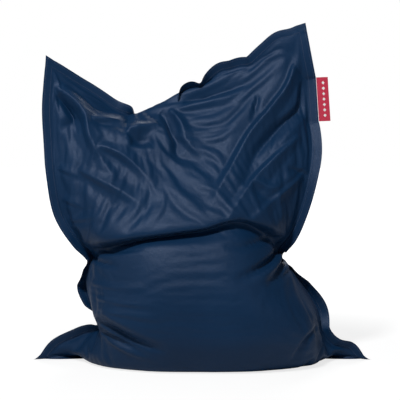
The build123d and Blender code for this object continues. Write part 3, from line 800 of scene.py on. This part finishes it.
def bead_mass():
    """Closed mass of beads just inside the cover, none where the bag is nearly flat."""
    step = 2                    # the mass has a point at every fourth one of the cover
    reach = 8                   # cells that a narrow valley of the cover is widened by
    fade = 24                   # further cells over which the beads thin out to the seam
    clear = 0.020
    skin = 0.018                # the beads stay this far under the cover
    lowest = 0.010
    inner = fine[:, fine_rim:-fine_rim, fine_rim:-fine_rim]
    middle = smooth(np.stack([inner.mean(0)] * 2), 40)
    out = unit(smooth(inner, 40) - middle)
    depth = least_around(((inner - middle) * out).sum(-1), reach)
    from_seam = np.clip((cells_in(depth.shape[1:]) - reach) / fade, 0, 1) ** 0.7
    depth = np.clip((smooth(depth[..., None], 4)[..., 0] - clear) * from_seam, 0, None)[:, ::step, ::step]
    middle, out = middle[:, ::step, ::step], out[:, ::step, ::step]
    trees = [BVHTree.FromPolygons(fine[k].reshape(-1, 3).tolist(),
                                  grid_faces(n_up, n_across, flip=bool(k)).tolist()) for k in (0, 1)]

    def sunk(place):
        """How far a point lies under the nearer cover panel, negative outside the bag."""
        found = [tree.find_nearest(place) for tree in trees]
        near, normal = min(found, key=lambda hit: hit[3])[:2]
        return (near - Vector(place)).dot(normal)

    for _ in range(3):
        points = middle + out * depth[..., None]
        for side, j, i in np.argwhere(depth > 0):
            depth[side, j, i] -= max(0, skin - sunk(points[side, j, i]))
        depth = np.clip(depth, 0, None)
    core = np.zeros(depth.shape)
    for j, i in np.ndindex(depth.shape[1:]):
        core[:, j, i] = sunk(middle[0, j, i]) > skin / 2
    depth = least_around(np.where(least_around(core, 3) > 0, depth, 0), 2)
    points = (middle + out * depth[..., None])[:, ::step, ::step]
    depth = depth[:, ::step, ::step]
    points[..., 2] = np.maximum(points[..., 2], lowest)
    up, across = points.shape[1:3]
    flat = (depth[0] <= 0) | (depth[1] <= 0)
    points[:, flat] = points[:, flat].mean(0)
    quads = grid_faces(up, across)
    kept = quads[~flat.ravel()[quads].all(1)]
    faces = np.concatenate([kept, kept[:, ::-1] + up * across])
    mass = piece("bead_mass", points.reshape(-1, 3), faces, bead_mat, "bag", ("bead_fill",))
    welded = bmesh.new()
    welded.from_mesh(mass.data)
    bmesh.ops.remove_doubles(welded, verts=welded.verts, dist=0.0005)
    bmesh.ops.delete(welded, geom=[v for v in welded.verts if not v.link_faces], context="VERTS")
    welded.to_mesh(mass.data)
    welded.free()
    return mass


beads = bead_mass()


# ---- topstitching round the flange ------------------------------------------------------
def ring_path(inset):
    """Closed path round the flange, inset from its edge, and the front normals on it."""
    low = inset / FLANGE * fine_rim
    up_end, across_end = n_up - 1 - low, n_across - 1 - low
    ups = np.arange(low, up_end, 0.5)
    acrosses = np.arange(low, across_end, 0.5)
    walk = [(u, low) for u in ups] + [(up_end, a) for a in acrosses]
    walk += [(u, across_end) for u in ups[::-1]] + [(low, a) for a in acrosses[::-1]]
    j, i = np.array(walk).T
    return sampled(fine[0], j, i), unit(sampled(normals[0], j, i))


def capsules(starts, ends, ups, radius, sides=6):
    """Short rounded stitches between pairs of points."""
    along = unit(ends - starts)
    across = unit(np.cross(along, ups))
    rise = np.cross(across, along)
    length = np.linalg.norm(ends - starts, axis=1)[:, None]
    rings = ((0.0, 0.35), (0.16, 1.0), (0.84, 1.0), (1.0, 0.35))
    angles = np.linspace(0, 2 * np.pi, sides, endpoint=False)
    vertices = []
    for place, share in rings:
        for angle in angles:
            out = (across * math.cos(angle) + rise * 0.6 * math.sin(angle)) * radius * share
            vertices.append(starts + along * length * place + out)
    vertices = np.stack(vertices, axis=1)
    faces = []
    for r in range(len(rings) - 1):
        for s in range(sides):
            t = (s + 1) % sides
            faces.append((r * sides + s, r * sides + t, (r + 1) * sides + t, (r + 1) * sides + s))
    per = len(rings) * sides
    caps = [range(sides)[::-1], range(per - sides, per)]
    count = len(starts)
    quads = (np.array(faces)[None] + (np.arange(count) * per)[:, None, None]).reshape(-1, 4)
    closing = [[v + k * per for v in cap] for k in range(count) for cap in caps]
    return vertices.reshape(-1, 3), quads.tolist() + closing


def stitched_row(name, inset, node_name):
    """Row of stitches on both faces of the flange, all the way round."""
    pitch = 0.0075
    stitch = 0.0055
    radius = 0.0006
    path, up = ring_path(inset)
    steps = np.linalg.norm(np.diff(path, axis=0), axis=1)
    run = np.concatenate([[0], np.cumsum(steps)])
    at = np.arange(0.002, run[-1] - pitch, pitch)

    def read(places, field):
        return np.stack([np.interp(places, run, field[:, c]) for c in range(3)], axis=1)

    ups = unit(read(at + 0.003, up))
    ups = np.concatenate([ups, -ups])
    lifted = ups * (SKIN + 0.0002)
    starts, ends = (np.tile(read(places, path), (2, 1)) + lifted for places in (at, at + stitch))
    v, f = capsules(starts, ends, ups, radius)
    v[:, 2] = np.maximum(v[:, 2], 0.0003)
    return piece(name, v, f, thread_mat, "bag", (node_name,))


stitched_row("outer_stitches", 0.008, "flange_stitch_outer")
stitched_row("inner_stitches", 0.030, "flange_stitch_inner")


# ---- tag at the side seam ------------------------------------------------------------------
tag_out = unit(np.array([tag_axis[2], 0, -tag_axis[0]]))
tag_normal = unit(np.cross(tag_axis, tag_out))


def tag_bow(reach, height):
    """How far the tag stands off its plane: a lazy curl, none at the sewn edge."""
    share = reach / TAG_REACH
    return (0.0035 * np.sin(1.5 * reach / TAG_REACH) + 0.0012 * np.sin(38 * height + 1)) * share


def tag_point(reach, height, off):
    """Points of the tag: out from the seam, up along it, and off its middle plane."""
    reach, height, off = np.broadcast_arrays(reach, height, off)
    stand = tag_bow(reach, height) + off
    return tag_at + reach[..., None] * tag_out + height[..., None] * tag_axis + stand[..., None] * tag_normal


def folded_tag():
    """Tag of folded ribbon: one sheet, turned over in a round fold at the outer end."""
    length = 2 * tag_half - 0.001
    heights = np.linspace(-length / 2, length / 2, 61)
    half = TAG_T / 2
    turn = np.linspace(-np.pi / 2, np.pi / 2, 9)[1:-1]
    straight = np.linspace(0, TAG_REACH - half, 24)
    reach = np.concatenate([straight, TAG_REACH - half + half * np.cos(turn), straight[::-1]])
    off = np.concatenate([np.full(24, -half), half * np.sin(turn), np.full(24, half)])
    points = tag_point(reach[None, :], heights[:, None], off[None, :])
    faces = grid_faces(*points.shape[:2])
    return piece("folded_tag", points.reshape(-1, 3), faces, tag_mat, "label", ("side_label",))


def tag_marks():
    """Generic woven pattern: a column of diamonds on both faces."""
    vertices = []
    faces = []
    count = 7
    side = 0.0078
    n = 6                       # points along a diamond's side
    a, b = np.meshgrid(np.linspace(-1, 1, n), np.linspace(-1, 1, n))
    raised = np.where(np.maximum(np.abs(a), np.abs(b)) > 0.99, -0.0001, 0.00022)
    for face in (-1, 1):
        for k in range(count):
            middle = (k - (count - 1) / 2) * 0.86 * 2 * tag_half / count
            faces += (grid_faces(n, n, flip=face < 0) + len(vertices)).tolist()
            reach = 0.56 * TAG_REACH + side * (a - b) / 2
            height = middle + side * (a + b) / 2
            vertices += tag_point(reach, height, face * (TAG_T / 2 + raised)).reshape(-1, 3).tolist()
    return piece("tag_diamonds", vertices, faces, motif_mat, "label", ("label_motif",))


def tag_stitches():
    """One row of stitches on each face of the tag beside its sewn edge."""
    pitch = 0.0045
    stitch = 0.0033
    heights = np.arange(-0.94 * tag_half, 0.94 * tag_half - 0.004, pitch)
    face = np.repeat([-1.0, 1.0], len(heights))
    heights = np.tile(heights, 2)
    off = face * (TAG_T / 2 + 0.0001)
    reach = np.full(len(heights), 0.004)
    starts, ends = (tag_point(reach, places, off) for places in (heights, heights + stitch))
    v, f = capsules(starts, ends, face[:, None] * tag_normal, 0.0004)
    return piece("tag_stitches", v, f, thread_mat, "label", ("label_stitch",))


ribbon = folded_tag()
tag_marks()
tag_stitches()


# ---- filling opening at the rear ---------------------------------------------------------
def crowned(name, node_name, body, mat, crown, wobble, cells=(94, 16), band=0.0):
    """Cloth slab in its CAD piece's box: soft edges, a slightly crowned and rippled outer face."""
    low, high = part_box(node_name)
    a = np.linspace(-1, 1, cells[0] + 1)[None, :]
    b = np.linspace(-1, 1, cells[1] + 1)[:, None]
    x = (low.x + high.x) / 2 + (high.x - low.x) / 2 * a + 0 * b
    z = (low.z + high.z) / 2 + (high.z - low.z) / 2 * b + 0 * a
    edge = np.clip((1 - np.maximum(np.abs(a), np.abs(b))) * 12, 0, 1) ** 0.5
    ripple = np.sin(61 * x + 3) * np.sin(23 * x) * wobble * (1 - b**2)
    crown_at = crown * (1 - b**2) * np.clip(8 * (1 - np.abs(a)), 0, 1) + ripple
    seams = band * np.exp(-(((np.abs(b) - 0.80) / 0.05) ** 2))
    thick = (high.y - low.y) * (0.35 + 0.65 * edge)
    outer_y = low.y + thick + (crown_at - seams) * edge
    inner_y = np.minimum(high.y - thick, outer_y - 0.0004)
    outer = np.stack([x, outer_y, z], axis=-1)
    inner = np.stack([x, inner_y, z], axis=-1)
    up, across = x.shape
    faces = np.concatenate([grid_faces(up, across, flip=True), grid_faces(up, across) + up * across])
    faces = faces.tolist()
    rim_line = [(0, i) for i in range(across)] + [(j, across - 1) for j in range(1, up)]
    rim_line += [(up - 1, i) for i in range(across - 2, -1, -1)] + [(j, 0) for j in range(up - 2, 0, -1)]
    index = [j * across + i for j, i in rim_line]
    for k, first in enumerate(index):
        second = index[(k + 1) % len(index)]
        faces.append((first, second, second + up * across, first + up * across))
    vertices = np.concatenate([outer.reshape(-1, 3), inner.reshape(-1, 3)])
    return piece(name, vertices, faces, mat, body, (node_name,))


storm_flap = crowned("storm_flap", "closure_flap", "flap", cover_mat, 0.0014, 0.0006, band=0.0005)
crowned("flap_fold", "flap_binding", "bag", cover_mat, 0.0012, 0.0004, cells=(94, 8))
care_strip = crowned("care_strip", "care_label", "bag", care_mat, 0.0010, 0.0003, cells=(16, 20))


def rows_of_stitches(name, node_name, body, pitch=0.0042):
    """Stitch by stitch version of a CAD piece made of two straight rows."""
    low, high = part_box(node_name)
    at = np.arange(low.x + 0.002, high.x - pitch, pitch)
    y = high.y - 0.0002
    starts = np.array([(x, y, z) for z in (low.z + 0.0004, high.z - 0.0004) for x in at])
    ends = starts + np.array([0.7 * pitch, 0, 0])
    ups = np.tile([0.0, 1.0, 0.0], (len(starts), 1))
    v, f = capsules(starts, ends, ups, 0.0005)
    return piece(name, v, f, thread_mat, body, (node_name,))


rows_of_stitches("zip_stitches", "zip_stitch", "bag")
rows_of_stitches("flap_stitches", "flap_stitch", "flap")
rows_of_stitches("loop_stitches", "loop_tape_stitch", "bag")


def coil_teeth(name, node_name, side):
    """Zip coil: a nylon helix flattened on its tape."""
    low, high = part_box(node_name)
    pitch = 0.0025
    turns = int((high.x - low.x) / pitch)
    per_turn = 10
    sides = 6
    t = np.arange(turns * per_turn) / per_turn
    wire = 0.00045
    half_z = (high.z - low.z) / 2 - wire
    half_y = (high.y - low.y) / 2 - wire
    x = low.x + wire + (high.x - low.x - 2 * wire) * t / t[-1]
    centre = np.stack([x, (low.y + high.y) / 2 + half_y * np.sin(2 * np.pi * t),
                       (low.z + high.z) / 2 + side * half_z * np.cos(2 * np.pi * t)], axis=1)
    tangent = unit(np.gradient(centre, axis=0))
    first = unit(np.cross(tangent, np.array([1.0, 0, 0])))
    second = np.cross(tangent, first)
    angles = np.linspace(0, 2 * np.pi, sides, endpoint=False)
    ring = centre[:, None] + wire * (first[:, None] * np.cos(angles)[None, :, None]
                                     + second[:, None] * np.sin(angles)[None, :, None])
    base = np.arange(len(t) * sides).reshape(len(t), sides)
    after = np.roll(base, -1, axis=1)
    faces = np.stack([base[:-1], after[:-1], after[1:], base[1:]], axis=-1).reshape(-1, 4)
    caps = [base[0][::-1].tolist(), base[-1].tolist()]
    return piece(name, ring.reshape(-1, 3), faces.tolist() + caps, coil_mat, "bag", (node_name,))


coil_teeth("coil_teeth_upper", "zip_coil_upper", 1)
coil_teeth("coil_teeth_lower", "zip_coil_lower", -1)

KEPT = {
    "zip_tape_upper": tape_mat, "zip_tape_lower": tape_mat, "zip_slider": metal_mat,
    "zip_stop_left": metal_mat, "zip_stop_right": metal_mat,
    "flap_hook_tape": pile_mat, "panel_loop_tape": pile_mat,
}
for name, mat in KEPT.items():
    for material_slot in frame["nodes"][name].material_slots:
        material_slot.material = mat


# ---- floor, light and camera -------------------------------------------------------------
def camera_glow(tree, shade):
    """Mixes plain white into a shader where the camera sees it, wholly so further off."""
    glow = node(tree, "ShaderNodeEmission", Strength=1.25, Color=(1, 1, 1, 1))
    seen = node(tree, "ShaderNodeLightPath").outputs["Is Camera Ray"]
    where = node(tree, "ShaderNodeTexCoord").outputs["Object"]
    far = node(tree, "ShaderNodeVectorMath", {0: where}, operation="LENGTH").outputs["Value"]
    share = map_range(tree, far, 0.60, 1.0, start=0.9, end=2.2)
    both = node(tree, "ShaderNodeMath", {0: seen, 1: share}, operation="MULTIPLY")
    return mixed(tree, both.outputs[0], shade, glow.outputs[0])


def mixed(tree, share, first, second):
    """Mix of two shaders."""
    made = node(tree, "ShaderNodeMixShader", {"Fac": share})
    tree.links.new(first, made.inputs[1])
    tree.links.new(second, made.inputs[2])
    return made.outputs[0]


def stage_floor(size=12.0):
    """White floor that keeps a soft shadow and has no horizon."""
    mesh = bpy.data.meshes.new("studio_floor")
    corners = [(-size, -size, 0), (size, -size, 0), (size, size, 0), (-size, size, 0)]
    mesh.from_pydata(corners, [], [(0, 1, 2, 3)])
    mat, tree, bsdf = shader("studio_white", (0.8, 0.8, 0.8), 0.9)
    shown = camera_glow(tree, bsdf.outputs[0])
    tree.links.new(shown, tree.nodes["Material Output"].inputs["Surface"])
    mesh.materials.append(mat)
    floor = bpy.data.objects.new("studio_floor", mesh)
    bpy.context.collection.objects.link(floor)


def point_at(obj, aim):
    """Turns a light or camera towards a point, and adds it to the scene."""
    obj.rotation_euler = (Vector(aim) - obj.location).to_track_quat("-Z", "Y").to_euler()
    bpy.context.collection.objects.link(obj)


def area_light(name, place, aim, size, power):
    light = bpy.data.lights.new(name, "AREA")
    light.shape = "DISK"
    light.size = size
    light.energy = power
    obj = bpy.data.objects.new(name, light)
    obj.location = place
    point_at(obj, aim)


def studio_world():
    """Faint sky light on the object, plain white behind it."""
    world = bpy.data.worlds.new("studio")
    world.use_nodes = True
    sky = world.node_tree
    ambient = sky.nodes["Background"]
    ambient.inputs["Color"].default_value = (0.93, 0.96, 1, 1)
    ambient.inputs["Strength"].default_value = 0.12
    white = node(sky, "ShaderNodeBackground", Color=(1, 1, 1, 1))
    seen = node(sky, "ShaderNodeLightPath").outputs["Is Camera Ray"]
    shown = mixed(sky, seen, ambient.outputs[0], white.outputs[0])
    sky.links.new(shown, sky.nodes["World Output"].inputs["Surface"])
    return world


def front_camera(distance=5.5, elevation=math.radians(5), aim=(-0.008, 0, 0.641), view=1.6):
    """Camera in front of the bag, with a view as wide as given at the bag."""
    camera = bpy.data.objects.new("camera", bpy.data.cameras.new("camera"))
    camera.location = Vector(aim) + distance * Vector((0, -math.cos(elevation), math.sin(elevation)))
    camera.data.lens = camera.data.sensor_width * distance / view
    point_at(camera, aim)
    return camera


# Each light: place, height aimed at, width and power.
LIGHTS = {
    "key_light": ((-1.1, -2.5, 4.2), 0.6, 0.7, 150),
    "fill_light": ((3.2, -3.0, 2.4), 0.6, 1.4, 14),
    "side_light": ((-3.6, -1.6, 1.8), 0.7, 1.0, 12),
    "back_light": ((0.6, 3.2, 3.0), 0.9, 2.0, 60),
}

stage_floor()
for name, (place, aim_height, size, power) in LIGHTS.items():
    area_light(name, place, (0, 0, aim_height), size, power)
bpy.context.scene.world = studio_world()
bpy.context.scene.view_settings.view_transform = "Standard"
bpy.context.scene.camera = front_camera()
